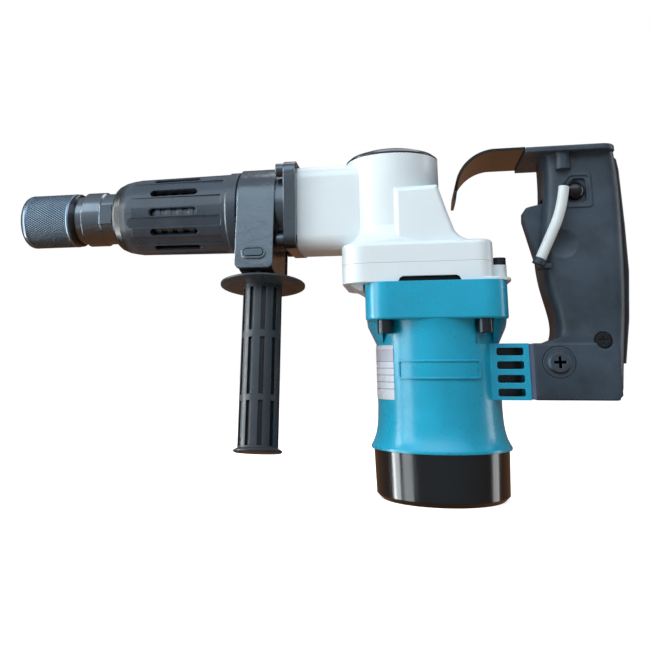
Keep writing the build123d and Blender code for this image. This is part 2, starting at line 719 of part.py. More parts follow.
def handle_body():
    """Both shells in one piece, before the split."""
    foot = block((57.6, 106.5), (-BLOCK_HALF_Y, BLOCK_HALF_Y), (62, 96.5))
    foot = chamfer(foot.edges().filter_by(Axis.Y).group_by(Axis.X)[-1], 3)
    foot = fillet(foot.edges().filter_by(Axis.X), 1.2)
    top = block((59.4, 114.0), (-GUARD_Y, GUARD_Y), (HANDLE_TOP - 3.6, HANDLE_TOP))
    top = fillet(top.edges().filter_by(Axis.Z).group_by(Axis.X)[-1], 9)
    top = fillet(top.edges().group_by(Axis.Z)[-1], 1.2)
    body = handle_prism(0, 7.5) + foot + top
    body -= handle_prism(WALL, 4.6)
    body -= block((60, 86), (-7.6, 7.6), (148.5, 190.5))
    for side in (-1, 1):
        boss = post(82.2, side * HANDLE_Y, 4.7, (206, 217))
        body += boss & block((70, 100), sorted((side * 12, side * 24.5)), (200, 220))
    body += rod_y(PIVOT[0], PIVOT[1], 8, (-BLOCK_HALF_Y + 2, BLOCK_HALF_Y - 2))
    body += rod_y(*SMALL_SCREW, 5, (-HANDLE_Y + 2, HANDLE_Y - 2))
    body -= rod_y(PIVOT[0], PIVOT[1], 4.05, (-30, 30))
    body -= rod_y(PIVOT[0], PIVOT[1], 9.6, (-30, -BLOCK_HALF_Y + 0.9))
    body -= rod_y(PIVOT[0], PIVOT[1], 9.6, (BLOCK_HALF_Y - 0.9, 30))
    body -= rod_y(*SMALL_SCREW, 2.1, (-30, 14))
    body -= rod_y(*SMALL_SCREW, 5.2, (-30, -HANDLE_Y + 1.6))
    rim, dish = lock_recess()
    body = body + rim - dish
    body -= Pos(79.2, -HANDLE_Y - SCOOP_R + 1.7, 158.5) * Sphere(SCOOP_R)
    body -= rod_y(*BUTTON, BUTTON_R + 0.1, (-30, 0))
    return body


def handle_shell(body, side):
    half = block((50, 125), sorted((0, side * 40)), (55, 230))
    return body & half


def hand_guard():
    """A bent strip that shields the knuckles, rounded at its free end."""
    t = 1.7
    z = HANDLE_TOP
    foot = 189.0
    path = Polyline((59.3, z), (40, z)) + ThreePointArc((40, z), (22.4, 212.6), (15.0, 198)) \
        + Line((15.0, 198), (13.8, foot))
    back = Polyline((59.3, z - t), (40.4, z - t)) + ThreePointArc((40.4, z - t), (23.8, 211.2), (16.7, 198)) \
        + Line((16.7, 198), (15.5, foot))
    ends = Line((59.3, z), (59.3, z - t)) + Line((13.8, foot), (15.5, foot))
    face = make_face(Plane.XZ.offset(-GUARD_Y) * (path + back + ends))
    strip = extrude(face, 2 * GUARD_Y, dir=(0, -1, 0))
    outline = block((10, 62), (-GUARD_Y, GUARD_Y), (foot, HANDLE_TOP + 5))
    return strip & fillet(outline.edges().filter_by(Axis.X).group_by(Axis.Z)[0], 16)


def back_pad():
    pad = slab([(114.3, 214), (116.2, 213), (117.2, 206), (118.2, 170), (118.4, 141), (116.2, 111),
                (112.4, 84), (110.6, 84), (114.2, 122), (115.6, 160)], (-14, 14))
    outer = pad.edges().filter_by(lambda e: abs(e.center().Y) > 13.5 and e.center().X > 116)
    pad = chamfer(outer, 1.0)
    return pad - handle_prism(-SEAT, 7.5)


def joint_strip():
    """Rubber strip between the motor housing and the handle."""
    return block((54.52, 57.58), (-BLOCK_HALF_Y + 0.6, BLOCK_HALF_Y - 0.6), (62.4, 96.1))


def pivot_bolt():
    x, z = PIVOT
    near, far = -BLOCK_HALF_Y + 0.9, BLOCK_HALF_Y - 0.9
    shank = rod_y(x, z, 4.0, (near, far))
    washer = rod_y(x, z, 9.3, (near - 1.2, near))
    head = rod_y(x, z, 7.0, (near - 4.0, near - 1.1))
    head = chamfer(head.edges().group_by(Axis.Y)[0], 1.2)
    cross = block((x - 3.6, x + 3.6), (near - 5, near - 2.2), (z - 0.9, z + 0.9))
    cross += block((x - 0.9, x + 0.9), (near - 5, near - 2.2), (z - 3.6, z + 3.6))
    nut = rod_y(x, z, 9.3, (far, far + 1.2)) + rod_y(x, z, 6.5, (far + 1.1, far + 4.5))
    return shank + washer + (head - cross) + nut


def handle_screws():
    x, z = SMALL_SCREW
    head = rod_y(x, z, 4.6, (-HANDLE_Y - 0.6, -HANDLE_Y + 1.6))
    cross = block((x - 2.4, x + 2.4), (-HANDLE_Y - 1, -HANDLE_Y + 0.4), (z - 0.6, z + 0.6))
    cross += block((x - 0.6, x + 0.6), (-HANDLE_Y - 1, -HANDLE_Y + 0.4), (z - 2.4, z + 2.4))
    return head - cross + rod_y(x, z, 2.0, (-HANDLE_Y + 1, 13))


def switch_body():
    return block((88, 104), (-11, 11), (150, 178)) + block((86.6, 88), (-3, 3), (166, 172))


def trigger():
    side = [(60.6, 185), (58.8, 182.4), (58.6, 177), (64.8, 151.4), (76, 150.5), (79, 153), (79, 160),
            (76, 187), (70, 187)]
    body = slab(side, (-7.2, 7.2))
    body = chamfer(body.edges().filter_by(lambda e: abs(e.center().Y) > 7 and e.center().X < 63), 1.5)
    return body - rod_y(*TRIGGER_PIVOT, 2 + FIT, (-10, 10))


def trigger_pin():
    return rod_y(*TRIGGER_PIVOT, 2.0, (-16.9, 16.9))


def lock_button():
    x, z = BUTTON
    stem = rod_y(x, z, BUTTON_R - 0.2, (-HANDLE_Y - 0.6, -HANDLE_Y + 9))
    ball = Pos(x, -HANDLE_Y + 1.4, z) * Sphere(BUTTON_R + 0.4)
    return stem + (ball & block((80, 97), (-HANDLE_Y - 8, -HANDLE_Y - 0.5), (180, 200)))


def cord_grommet():
    """A short sleeve at the handle's front edge that the flex comes out of."""
    start, second = Vector(*CORD_ROUTE[0]), Vector(*CORD_ROUTE[1])
    along = (second - start).normalized()
    sleeve = Plane(origin=start - along * 4, z_dir=along) * Pos(0, 0, 2) * Cone(3.9, 3.6, 4)
    foot = block((63.0, 71.0), (-24.6, -12.5), (142.6, 145.6)) - handle_prism(-SEAT, 7.5)
    return sleeve + foot


def cord_path():
    """Straight runs joined by arcs as large as the runs allow."""
    points = [Vector(*p) for p in CORD_ROUTE]
    radii = []
    for before, at, after in zip(points, points[1:], points[2:]):
        turn = math.radians((at - before).get_angle(after - at))
        shorter = min((at - before).length, (after - at).length)
        radii.append(0.45 * shorter / math.tan(turn / 2))
    print("cord bend radii", [round(r, 1) for r in radii])
    return FilletPolyline(*points, radius=radii)


def cord_stub():
    path = cord_path()
    section = Plane(origin=path @ 0, z_dir=path % 0) * Circle(CORD_R)
    cord = sweep(section, path=path)
    swept = math.pi * CORD_R ** 2 * path.length
    print("cord volume", round(cord.volume, 1), "section x length", round(swept, 1))
    print("cord length", round(path.length, 1))
    return cord


def parts():
    handle = handle_body()
    return {
        "end_cap": end_cap(), "end_cap_screws": end_cap_screws(), "motor_housing": motor_housing(),
        "name_label": name_label(), "housing_bolts": housing_bolts(), "stator_core": stator(),
        "field_coils": field_coils(), "bearing_bridge": bearing_bridge(),
        "lower_bearing": ring_bearing(0, 4.0, 8.0, (27.5, 32.5)),
        "upper_bearing": ring_bearing(0, 2.6, 6.0, (152.5, 157)),
        "brush_boxes": brush_boxes(), "carbon_brushes": carbon_brushes(),
        "armature_shaft": armature_shaft(), "armature_core": armature_core(),
        "armature_windings": armature_windings(), "commutator": commutator(), "cooling_fan": cooling_fan(),
        "gear_case": gear_case(), "crank_case": crank_case(), "crank_cap": crank_cap(),
        "crank_cap_ring": crank_cap_ring(), "case_bolts": case_bolts(),
        "crank_bearing": ring_bearing(CRANK_X, CRANK_JOURNAL_R, MAIN_BEARING_R - SEAT, (156, 167)),
        "crank_lower_bearing": ring_bearing(CRANK_X, CRANK_TAIL_R, 6.0, (136.6, 139.6)),
        "crank_shaft": crank_shaft(), "crank_gear": crank_gear(),
        "connecting_rod": connecting_rod(), "piston": piston(), "piston_ring": piston_ring(),
        "wrist_pin": wrist_pin(), "cylinder_liner": liner(), "striker": striker(),
        "striker_ring": striker_ring(), "impact_bolt": impact_bolt(), "barrel": barrel(),
        "barrel_cover": barrel_cover(), "front_flange": front_flange(), "flange_bolts": flange_bolts(),
        "lock_balls": lock_balls(), "tool_collar": tool_collar(), "collar_rim": collar_rim(),
        "retainer_spring": retainer_spring(), "handle_band": handle_band(), "clamp_block": clamp_block(),
        "clamp_pin": clamp_pin(), "handle_stud": handle_stud(), "side_grip": side_grip(),
        "handle_near_shell": handle_shell(handle, -1), "handle_far_shell": handle_shell(handle, 1),
        "hand_guard": hand_guard(), "back_pad": back_pad(), "joint_strip": joint_strip(),
        "pivot_bolt": pivot_bolt(), "handle_screws": handle_screws(), "switch_body": switch_body(),
        "trigger": trigger(), "trigger_pin": trigger_pin(), "lock_button": lock_button(),
        "cord_grommet": cord_grommet(), "cord_stub": cord_stub(),
    }


os.makedirs("parts", exist_ok=True)
for name, shape in parts().items():
    solids = shape if isinstance(shape, list) else shape.solids()
    export_step(Compound(children=list(solids)), f"parts/{name}.step")
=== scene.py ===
import json
import math

import bmesh
import bpy
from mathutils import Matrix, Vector


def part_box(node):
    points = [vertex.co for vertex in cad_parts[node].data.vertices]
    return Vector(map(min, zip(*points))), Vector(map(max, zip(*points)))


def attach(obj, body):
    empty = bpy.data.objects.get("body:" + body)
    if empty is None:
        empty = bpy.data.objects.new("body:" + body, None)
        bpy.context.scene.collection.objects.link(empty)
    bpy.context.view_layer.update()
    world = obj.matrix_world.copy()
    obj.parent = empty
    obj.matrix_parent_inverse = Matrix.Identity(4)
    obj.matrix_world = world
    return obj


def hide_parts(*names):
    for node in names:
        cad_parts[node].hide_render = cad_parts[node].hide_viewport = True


# The demolition hammer's looks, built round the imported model. X runs from the nose to the rear handle, the
# near side is at -Y, and Z is up. Lengths are metres, or millimetres where MM is named beside them.

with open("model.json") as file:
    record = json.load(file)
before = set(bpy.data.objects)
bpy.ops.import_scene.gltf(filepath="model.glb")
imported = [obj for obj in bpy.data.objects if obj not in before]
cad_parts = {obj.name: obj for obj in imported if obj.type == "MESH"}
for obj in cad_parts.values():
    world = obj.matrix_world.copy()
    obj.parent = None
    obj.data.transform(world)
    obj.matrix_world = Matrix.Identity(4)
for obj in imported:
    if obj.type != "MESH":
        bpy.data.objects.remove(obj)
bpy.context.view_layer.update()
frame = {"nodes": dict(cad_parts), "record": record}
NODES = frame["nodes"]
MM = 0.001

CAMERA_PLACE = (-0.0158, -0.5128, 0.0829)
CAMERA_TURN_DEGREES = (99.57, 0.17, 11.23)
LENS = 41.54
SENSOR = 36.0
CAMERA_SHIFT = (0.0969, -0.1308)
ROOM_STRENGTH = 0.75
MIDDLE = (0.0, 0.0, 0.13)

BARREL_Z = 0.1905
GRIP_X = -0.115
SIDE_HANDLE_TURN = math.radians(-10)

CORD_ROUTE = [(0.0646, -0.0246, 0.1486), (0.0679, -0.0246, 0.1555), (0.0720, -0.0246, 0.1640),
              (0.0766, -0.0246, 0.1740), (0.0798, -0.0246, 0.1845), (0.0814, -0.0246, 0.1940)]
CORD_D = 0.0065

# Boxes where a colour changes, for print, tone or painted shade in a hollow: ranges along x, away from the
# middle plane and up z, in millimetres (MM).
EVERYWHERE = (-999, 999)
VENT_SHADE = ((33.1, 51.9), (-1, 21.3), (64, 94.3))
EXHAUST_SLOT_SHADE = ((-24, 16.6), (30, 38.4), (134.5, 138.5))
PIVOT_RECESS_SHADE = ((67.9, 75.5), (24.5, 26.8), (81.0, 88.6))
BEHIND_FLANGE = (-60, 999)
LABEL_RULES = (68.5, 72.8, 77.1, 81.4, 85.7)
RULE_WIDTH = 0.35
LABEL_HEAD = (86.4, 93.6)

# Distances from an axis inside which painted shade darkens the surface, in millimetres (MM).
KNURL_SHADE = (19.35, 19.7)
SLOT_SHADE = (25.6, 26.6)
FLUTE_FLOOR = 12.6

KNURL_STARTS = 72
KNURL_DEPTH = 0.0006
KNURL_SLOPE = 0.62
KNURL_LEAN = 0.62
KNURL_STEPS = 108
KNURL_FRONT = 5.2 * MM
KNURL_REAR = 1.6 * MM
# The sleeve's rounded nose end: how far behind its front face, and how far inside its radius (MM).
SHOULDER = ((0, 4.4), (0.25, 3.1), (0.9, 1.9), (1.9, 0.9), (3.2, 0.3), (4.6, 0))
MOUTH_R = 11 * MM
LAND_R = 15.05 * MM
LAND_X = (-0.2920, -0.2765)
SLEEVE_BORE_R = 17.65 * MM

# Noise textures hardly leave this part of 0 to 1.
NOISE_SPREAD = (0.3, 0.7)


# materials

class Graph:
    """A small helper round one material's nodes; base is the colour so far."""

    def __init__(self, name, colour, rough, metal=0.0, bevel=0.0006):
        self.name = name
        self.material = bpy.data.materials.new(name)
        self.material.use_nodes = True
        self.tree = self.material.node_tree
        self.shader = self.tree.nodes["Principled BSDF"]
        self.set("Base Color", (*colour, 1.0))
        self.set("Roughness", rough)
        self.set("Metallic", metal)
        self.base = colour
        self.coords = self.add("ShaderNodeTexCoord").outputs["Object"]
        rounded = self.add("ShaderNodeBevel", samples=6)
        rounded.inputs["Radius"].default_value = bevel
        self.normal = rounded.outputs["Normal"]
        self.link(self.normal, self.shader.inputs["Normal"])

    def add(self, kind, **values):
        node = self.tree.nodes.new(kind)
        for key, value in values.items():
            setattr(node, key, value)
        return node

    def set(self, socket, value):
        self.shader.inputs[socket].default_value = value

    def link(self, a, b):
        self.tree.links.new(a, b)

    def feed(self, socket, value):
        """Puts a socket or a plain value into an input."""
        if isinstance(value, bpy.types.NodeSocket):
            self.link(value, socket)
        else:
            socket.default_value = value

    def math(self, operation, *values):
        node = self.add("ShaderNodeMath", operation=operation)
        for socket, value in zip(node.inputs, values):
            self.feed(socket, value)
        return node.outputs[0]

    def distance(self, a, b):
        """The length of the step with legs a and b."""
        squares = self.math("ADD", self.math("MULTIPLY", a, a), self.math("MULTIPLY", b, b))
        return self.math("SQRT", squares)

    def axes(self):
        """The object's own x, y and z, as outputs named X, Y and Z."""
        parts = self.add("ShaderNodeSeparateXYZ")
        self.link(self.coords, parts.inputs["Vector"])
        return parts.outputs

    def noise(self, scale, detail=3.0, stretch=(1, 1, 1), rough=0.55):
        mapping = self.add("ShaderNodeMapping")
        mapping.inputs["Scale"].default_value = stretch
        self.link(self.coords, mapping.inputs["Vector"])
        noise = self.add("ShaderNodeTexNoise")
        noise.inputs["Scale"].default_value = scale
        noise.inputs["Detail"].default_value = detail
        noise.inputs["Roughness"].default_value = rough
        self.link(mapping.outputs["Vector"], noise.inputs["Vector"])
        return noise.outputs["Fac"]

    def ramp(self, value, low, high):
        """Black up to low and white from high."""
        ramp = self.add("ShaderNodeValToRGB")
        for stop, place in zip(ramp.color_ramp.elements, (low, high)):
            stop.position = place
        self.link(value, ramp.inputs["Fac"])
        return ramp.outputs["Color"]

    def remap(self, value, source, target=(0.0, 1.0)):
        """Value stretched from the source range to the target range, and held inside it."""
        reach = self.add("ShaderNodeMapRange")
        for name, end in zip(("From Min", "From Max", "To Min", "To Max"), (*source, *target)):
            reach.inputs[name].default_value = end
        self.link(value, reach.inputs["Value"])
        return reach.outputs["Result"]

    def mix(self, factor, a, b):
        """Colours or colour sockets a and b, mixed by the factor socket."""
        mix = self.add("ShaderNodeMix", data_type="RGBA")
        self.link(factor, mix.inputs[0])
        for socket, value in ((mix.inputs[6], a), (mix.inputs[7], b)):
            self.feed(socket, (*value, 1.0) if isinstance(value, tuple) else value)
        return mix.outputs[2]

    def colour(self, socket):
        self.base = socket
        self.link(socket, self.shader.inputs["Base Color"])

    def cover(self, mask, colour):
        """Lays a colour over the base where the mask is 1."""
        self.colour(self.mix(mask, self.base, colour))

    def roughness(self, noise, low, high):
        self.link(self.remap(noise, NOISE_SPREAD, (low, high)), self.shader.inputs["Roughness"])

    def bump(self, height, depth, strength):
        """Adds relief to what is there; depth is in metres."""
        bump = self.add("ShaderNodeBump")
        bump.inputs["Strength"].default_value = strength
        bump.inputs["Distance"].default_value = depth
        self.link(height, bump.inputs["Height"])
        self.link(self.normal, bump.inputs["Normal"])
        self.normal = bump.outputs["Normal"]
        self.link(self.normal, self.shader.inputs["Normal"])

    def edges(self, low, high):
        """A broken mask of outer and inner edges, from how far a wide bevel turns the normal."""
        wide = self.add("ShaderNodeBevel", samples=6)
        wide.inputs["Radius"].default_value = 0.0012
        turn = self.add("ShaderNodeVectorMath", operation="DOT_PRODUCT")
        self.link(wide.outputs["Normal"], turn.inputs[0])
        self.link(self.add("ShaderNodeNewGeometry").outputs["Normal"], turn.inputs[1])
        turned = self.math("SUBTRACT", 1.0, turn.outputs["Value"])
        return self.ramp(self.math("MULTIPLY", turned, self.noise(180.0, 4.0)), low, high)

    def within(self, x=EVERYWHERE, y=EVERYWHERE, z=EVERYWHERE):
        """1 inside a box in the object's own coordinates (MM); y is the distance from the middle plane."""
        axes = self.axes()
        places = (axes["X"], self.math("ABSOLUTE", axes["Y"]), axes["Z"])
        mask = 1.0
        for place, (low, high) in zip(places, (x, y, z)):
            inside = self.math("MULTIPLY", self.math("GREATER_THAN", place, low * MM),
                               self.math("LESS_THAN", place, high * MM))
            mask = self.math("MULTIPLY", mask, inside)
        return mask

    def off_barrel(self, low, high):
        """0 nearer the barrel's axis than low and 1 beyond high (MM)."""
        axes = self.axes()
        rise = self.math("SUBTRACT", axes["Z"], BARREL_Z)
        return self.remap(self.distance(rise, axes["Y"]), (low * MM, high * MM))


def shade(colour, factor):
    return tuple(min(1.0, c * factor) for c in colour)


def plastic(name, colour, rough, grain=0.00006, grain_scale=2400.0, tint=0.12, coat=0.0, bevel=0.0007):
    """Moulded plastic with a fine spark texture, uneven handling gloss, pale specks and rubbed edges."""
    g = Graph(name, colour, rough, bevel=bevel)
    g.set("Coat Weight", coat)
    g.set("Coat Roughness", 0.16)
    mottle = g.ramp(g.noise(38.0, 5.0), *NOISE_SPREAD)
    g.colour(g.mix(mottle, shade(colour, 1 - tint), shade(colour, 1 + tint)))
    g.cover(g.ramp(g.noise(420.0, 3.0), 0.70, 0.75), shade(colour, 1.4))
    g.cover(g.edges(0.06, 0.25), shade(colour, 1.35))
    g.roughness(g.noise(90.0, 5.0), rough - 0.07, rough + 0.07)
    g.bump(g.noise(grain_scale, 2.0), grain, 0.7)
    g.bump(g.noise(60.0, 2.0), 0.00025, 0.2)
    return g


def painted(name, colour, rough, metal, relief, coat, chip):
    """Sprayed metal paint with slight orange peel; chip is how bright its chipped edges are beside it."""
    g = Graph(name, colour, rough, metal, bevel=0.0009)
    g.set("Coat Weight", coat)
    g.set("Coat Roughness", 0.2)
    g.colour(g.mix(g.noise(30.0, 4.0), shade(colour, 0.94), shade(colour, 1.04)))
    g.cover(g.edges(0.12, 0.4), shade(colour, chip))
    g.roughness(g.noise(70.0, 4.0), rough - 0.05, rough + 0.07)
    g.bump(g.noise(900.0, 2.0), 0.00005, 0.5)
    g.bump(g.noise(150.0, 3.0), relief, 0.6)
    return g


def steel(name, colour, rough, lines=(1, 1, 1), line_scale=300.0, depth=0.000004):
    """Turned or ground steel; lines packs the marks closer along an axis."""
    g = Graph(name, colour, rough, metal=1.0, bevel=0.0004)
    marks = g.noise(line_scale, 3.0, lines)
    g.colour(g.mix(g.noise(50.0, 3.0), shade(colour, 0.8), shade(colour, 1.2)))
    g.cover(g.edges(0.05, 0.3), shade(colour, 1.8))
    g.roughness(marks, rough - 0.04, rough + 0.06)
    g.bump(marks, depth, 0.5)
    return g


def rubber(name, colour, rough=0.6):
    """Soft black rubber with an even fine grain."""
    g = Graph(name, colour, rough)
    g.colour(g.mix(g.noise(80.0, 4.0), shade(colour, 0.75), shade(colour, 1.25)))
    g.roughness(g.noise(120.0, 4.0), rough - 0.1, rough + 0.08)
    g.bump(g.noise(1500.0, 2.0), 0.00006, 0.6)
    return g


def gloss_black():
    """The polished end cap, with rubbing marks and a few long scratches down it."""
    base = (0.0045, 0.0048, 0.0055)
    g = Graph("black_cap", base, 0.12)
    g.set("Coat Weight", 0.5)
    g.set("Coat Roughness", 0.08)
    scratch = g.ramp(g.noise(24.0, 7.0, (7.0, 7.0, 0.5), 0.72), 0.68, 0.71)
    g.colour(g.mix(scratch, base, (0.07, 0.07, 0.075)))
    g.roughness(g.noise(46.0, 6.0, (6, 6, 0.4)), 0.08, 0.26)
    g.bump(g.noise(34.0, 3.0, (5, 5, 0.5)), 0.0003, 0.3)
    return g


def teal_housing():
    """Teal nylon, with painted shade, near black, inside its vents."""
    g = plastic("teal_housing", (0.004, 0.365, 0.555), rough=0.30, grain=0.00002, grain_scale=1500.0,
                tint=0.1, coat=0.35)
    g.cover(g.within(*VENT_SHADE), (0.004, 0.006, 0.007))
    return g


def silver_case():
    """Silver-white enamel on cast magnesium, with painted shade, near black, inside the exhaust slot."""
    g = painted("silver_case", (0.81, 0.88, 0.90), rough=0.40, metal=0.1, relief=0.00012, coat=0.2, chip=0.8)
    g.cover(g.within(*EXHAUST_SLOT_SHADE), (0.006, 0.007, 0.009))
    return g


def black_steel():
    """Satin black steel, darker behind the flange, on the case's bolts and cap, than on the clamp and flange.
    """
    g = painted("black_steel", (0.14, 0.16, 0.18), rough=0.22, metal=0.9, relief=0.0004, coat=0.25, chip=3.0)
    g.cover(g.within(x=BEHIND_FLANGE), (0.042, 0.048, 0.056))
    return g


def screw_steel():
    """Dulled screw heads, with painted shade, near black, in the pivot bolt's cross recess."""
    g = steel("screw_steel", (0.13, 0.155, 0.18), 0.36)
    g.cover(g.within(*PIVOT_RECESS_SHADE), (0.004, 0.004, 0.005))
    return g


def knurl_steel():
    """The blued sleeve, rubbed bright on the points of its knurl, with painted shade, near black, between
    them.
    """
    g = Graph("blued_steel_knurl", (0.2, 0.23, 0.27), 0.3, metal=1.0, bevel=0.00004)
    points = g.mix(g.noise(60.0, 3.0), (0.20, 0.27, 0.35), (0.34, 0.43, 0.53))
    g.colour(g.mix(g.off_barrel(*KNURL_SHADE), (0.004, 0.005, 0.006), points))
    g.roughness(g.noise(300.0, 3.0), 0.24, 0.38)
    g.bump(g.noise(900.0, 2.0), 0.00001, 0.4)
    return g


def cover_rubber():
    """The barrel's ribbed cover, with painted shade, near black, inside its slots."""
    g = plastic("cover_rubber", (0.042, 0.056, 0.074), rough=0.32, grain=0.00003, grain_scale=1500.0,
                tint=0.2, coat=0.3)
    g.colour(g.mix(g.off_barrel(*SLOT_SHADE), (0.004, 0.004, 0.005), g.base))
    return g


def grip_rubber():
    """The fluted side grip, with painted shade, near black, in the bottom of its flutes."""
    g = rubber("grip_rubber", (0.034, 0.042, 0.050), 0.36)
    axes = g.axes()
    drop = g.math("SUBTRACT", axes["Z"], BARREL_Z)
    across = g.math("ADD", g.math("MULTIPLY", axes["Y"], math.cos(SIDE_HANDLE_TURN)),
                    g.math("MULTIPLY", drop, math.sin(SIDE_HANDLE_TURN)))
    along = g.math("SUBTRACT", axes["X"], GRIP_X)
    g.cover(g.math("LESS_THAN", g.distance(across, along), FLUTE_FLOOR * MM), (0.003, 0.003, 0.004))
    return g


def label_film():
    """The blank spec label, with ruled lines between its empty boxes."""
    g = plastic("label_film", (0.70, 0.74, 0.80), rough=0.3, grain=0.00001, grain_scale=900.0, tint=0.03,
                coat=0.2)
    for z in LABEL_RULES:
        g.cover(g.within(z=(z, z + RULE_WIDTH)), (0.05, 0.07, 0.16))
    g.cover(g.within(z=LABEL_HEAD), (0.55, 0.57, 0.66))
    return g


MATERIALS = {graph.name: graph.material for graph in (
    gloss_black(),
    teal_housing(),
    silver_case(),
    black_steel(),
    steel("blued_steel", (0.26, 0.29, 0.32), 0.20, lines=(8, 1, 1), line_scale=260.0),
    steel("bright_steel", (0.62, 0.62, 0.64), 0.25),
    screw_steel(),
    painted("black_oxide", (0.006, 0.006, 0.007), rough=0.16, metal=0.2, relief=0.00005, coat=0.3, chip=3.0),
    cover_rubber(),
    grip_rubber(),
    plastic("handle_plastic", (0.036, 0.053, 0.072), rough=0.42, grain=0.00007, grain_scale=2200.0, tint=0.45,
            bevel=0.0012),
    plastic("button_plastic", (0.006, 0.006, 0.007), rough=0.2, grain=0.00001, grain_scale=900.0, tint=0.1,
            coat=0.4),
    rubber("seal_rubber", (0.010, 0.010, 0.012)),
    rubber("strip_rubber", (0.10, 0.12, 0.19)),
    steel("aluminium_part", (0.66, 0.67, 0.69), 0.3, lines=(6, 1, 1)),
    steel("lamination", (0.35, 0.35, 0.36), 0.4, lines=(1, 1, 12), depth=0.0001),
    steel("copper", (0.72, 0.33, 0.16), 0.32, lines=(1, 1, 8), depth=0.0002),
    rubber("carbon", (0.02, 0.02, 0.02)),
    plastic("fan_plastic", (0.02, 0.02, 0.022), 0.45),
    steel("bearing_steel", (0.65, 0.65, 0.67), 0.2),
    label_film(),
    plastic("cord_white", (0.72, 0.78, 0.78), rough=0.4, grain=0.00002, grain_scale=900.0, tint=0.04),
)}
KNURL = knurl_steel().material


# pieces

def dress_frame():
    """Gives every CAD node its slot's material."""
    slots = {s["node"]: s["material_slot"] for s in frame["record"]["subparts"]}
    for name, node in NODES.items():
        node.data.materials.clear()
        node.data.materials.append(MATERIALS[slots[name]])


def smooth_mesh(name, verts, faces):
    """A smooth mesh with its faces turned outward."""
    mesh = bpy.data.meshes.new(name)
    mesh.from_pydata(verts, [], faces)
    mesh.validate()
    mesh.update()
    bm = bmesh.new()
    bm.from_mesh(mesh)
    bmesh.ops.recalc_face_normals(bm, faces=bm.faces)
    bm.to_mesh(mesh)
    bm.free()
    for face in mesh.polygons:
        face.use_smooth = True
    return mesh


def lathe(rings, around, relief):
    """Vertices and faces of a closed profile turned about the barrel's axis; relief moves each point."""
    verts, faces = [], []
    for x, r in rings:
        for k in range(around):
            a = 2 * math.pi * k / around
            out = relief(x, r, a)
            verts.append((x, -out * math.cos(a), BARREL_Z + out * math.sin(a)))
    count = len(rings)
    for i in range(count):
        for k in range(around):
            j, m = (i + 1) % count, (k + 1) % around
            faces.append((i * around + k, i * around + m, j * around + m, j * around + k))
    return verts, faces


def sleeve_profile(front, rear, radius, knurl):
    """The sleeve's outline as (x, radius) points: mouth, shoulder, knurled length, rear edge and bore."""
    mouth = [(front + 2.0 * MM, MOUTH_R), (front + 0.5 * MM, MOUTH_R), (front, MOUTH_R + 0.6 * MM)]
    shoulder = [(front + back * MM, radius - drop * MM) for back, drop in SHOULDER]
    length = knurl[1] - knurl[0]
    grip = [(knurl[0] + length * k / KNURL_STEPS, radius) for k in range(KNURL_STEPS + 1)]
    rear_edge = [(rear - 0.5 * MM, radius), (rear, radius - 0.4 * MM)]
    bore = [(rear, SLEEVE_BORE_R), (LAND_X[1], SLEEVE_BORE_R), (LAND_X[1], LAND_R), (LAND_X[0], LAND_R)]
    return mouth + shoulder + grip + rear_edge + bore


def knurled_collar():
    """The tool retainer's sleeve: diamond knurl between plain chamfered ends."""
    lo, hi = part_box("tool_collar")
    radius = (hi.z - lo.z) / 2
    knurl = (lo.x + KNURL_FRONT, hi.x - KNURL_REAR)
    lead = 2 * math.pi * radius / KNURL_STARTS

    def relief(x, r, a):
        if not knurl[0] <= x <= knurl[1] or r < radius - 1e-5:
            return r
        fade = min(1.0, (x - knurl[0]) / MM, (knurl[1] - x) / MM)
        turn = a * KNURL_STARTS
        slide = 2 * math.pi * x / lead * KNURL_SLOPE
        ridge = KNURL_LEAN * math.cos(turn + slide) + (1 - KNURL_LEAN) * math.cos(turn - slide)
        return r + KNURL_DEPTH * fade * (ridge - 1) / 2

    verts, faces = lathe(sleeve_profile(lo.x, hi.x, radius, knurl), KNURL_STARTS * 7, relief)
    collar = bpy.data.objects.new("knurled_collar", smooth_mesh("knurled_collar", verts, faces))
    bpy.context.scene.collection.objects.link(collar)
    collar.data.materials.append(KNURL)
    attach(collar, "collar")
    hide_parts("tool_collar")


def white_cord():
    """The short white flex in front of the near handle shell."""
    curve = bpy.data.curves.new("white_flex", "CURVE")
    curve.dimensions = "3D"
    curve.resolution_u = 16
    curve.bevel_depth = CORD_D / 2
    curve.bevel_resolution = 6
    curve.use_fill_caps = True
    spline = curve.splines.new("NURBS")
    spline.points.add(len(CORD_ROUTE) - 1)
    for point, place in zip(spline.points, CORD_ROUTE):
        point.co = (*place, 1.0)
    spline.order_u = 3
    spline.use_endpoint_u = True
    cord = bpy.data.objects.new("white_flex", curve)
    bpy.context.scene.collection.objects.link(cord)
    curve.materials.append(MATERIALS["cord_white"])
    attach(cord, "hammer")
    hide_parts("cord_stub")


# stage

def stage_object(name, corners, faces, material):
    mesh = bpy.data.meshes.new(name)
    mesh.from_pydata(corners, [], faces)
    thing = bpy.data.objects.new(name, mesh)
    bpy.context.scene.collection.objects.link(thing)
    mesh.materials.append(material)
    return thing


def stage_material(name, colour, glow, specular=0.5):
    """A dull surface that also shines white by itself."""
    material = bpy.data.materials.new(name)
    material.use_nodes = True
    shader = material.node_tree.nodes["Principled BSDF"]
    shader.inputs["Base Color"].default_value = (*colour, 1.0)
    shader.inputs["Roughness"].default_value = 0.7
    shader.inputs["Specular IOR Level"].default_value = specular
    shader.inputs["Emission Color"].default_value = (1, 1, 1, 1)
    shader.inputs["Emission Strength"].default_value = glow
    return material


